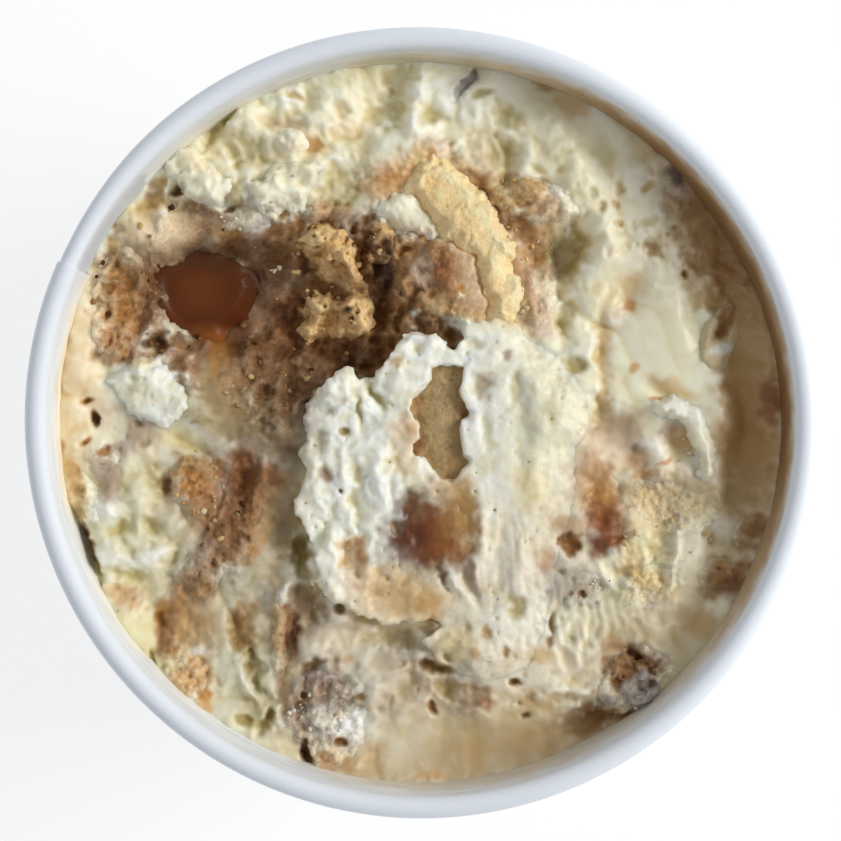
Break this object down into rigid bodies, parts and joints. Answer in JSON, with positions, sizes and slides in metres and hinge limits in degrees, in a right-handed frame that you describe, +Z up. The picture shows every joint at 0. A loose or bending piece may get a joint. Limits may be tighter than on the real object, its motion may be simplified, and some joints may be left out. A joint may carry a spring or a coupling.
{
  "type": "date pudding in a paper tub",
  "caption": "Round rolled-rim paper tub filled with cream, in which date sponge, sponge fingers, soft dates, crumbs and a pool of date syrup lie.",
  "frame": {"origin": "on the tub's axis, in the plane of its foot", "axes": "+Z up out of the open mouth; seen from above, +X points right and +Y to the top of the view, with the syrup pool at the upper left and the side seam at 156 degrees from +X towards +Y"},
  "size_m": [0.096, 0.096, 0.06],
  "materials": {
    "tub_paper": "white lacquered paper board",
    "cream": "soft satin whipped cream",
    "sponge": "matt fine-pored sponge",
    "date_sponge": "matt coarse-pored brown sponge",
    "golden_crumb": "matt open golden crumb",
    "soaked_sponge": "moist syrup-soaked sponge",
    "date": "sticky moist date flesh",
    "syrup": "glossy date syrup",
    "nut": "pale creamy crumb"
  },
  "bodies": {
    "root": {"tub_wall": "tub_paper", "tub_base": "tub_paper", "cream_bed": "cream", "cream_scoop": "cream", "cream_dab": "cream", "cream_lump_left": "cream", "cream_lump_top": "cream", "cream_lump_mid": "cream", "cream_fold_right": "cream", "sponge_window": "sponge", "sponge_finger": "sponge", "sponge_right_upper": "sponge", "sponge_right_lower": "sponge", "date_sponge_hollow": "date_sponge", "date_sponge_left": "date_sponge", "date_sponge_rim": "date_sponge", "date_sponge_lower_right": "date_sponge", "date_sponge_bottom": "date_sponge", "streak_low": "date_sponge", "crumb_left_small": "date_sponge", "crumb_golden_upper": "golden_crumb", "crumb_golden_lower": "golden_crumb", "crumb_golden_side": "golden_crumb", "sponge_left_mid": "golden_crumb", "crumb_wall_left": "golden_crumb", "date_sponge_mid": "soaked_sponge", "sponge_torn_upper": "soaked_sponge", "sponge_torn_side": "soaked_sponge", "peach_bit": "soaked_sponge", "soaked_patch_upper": "soaked_sponge", "soaked_patch_lower": "soaked_sponge", "soaked_streak": "soaked_sponge", "sponge_wall_low": "soaked_sponge", "date_scoop": "date", "date_right": "date", "date_skin_top": "date", "date_bit_wall": "date", "date_left": "date", "syrup_pool": "syrup", "nut_curl": "nut", "sugar_lump": "nut", "crumb_grey_right": "nut"}
  },
  "joints": []
}
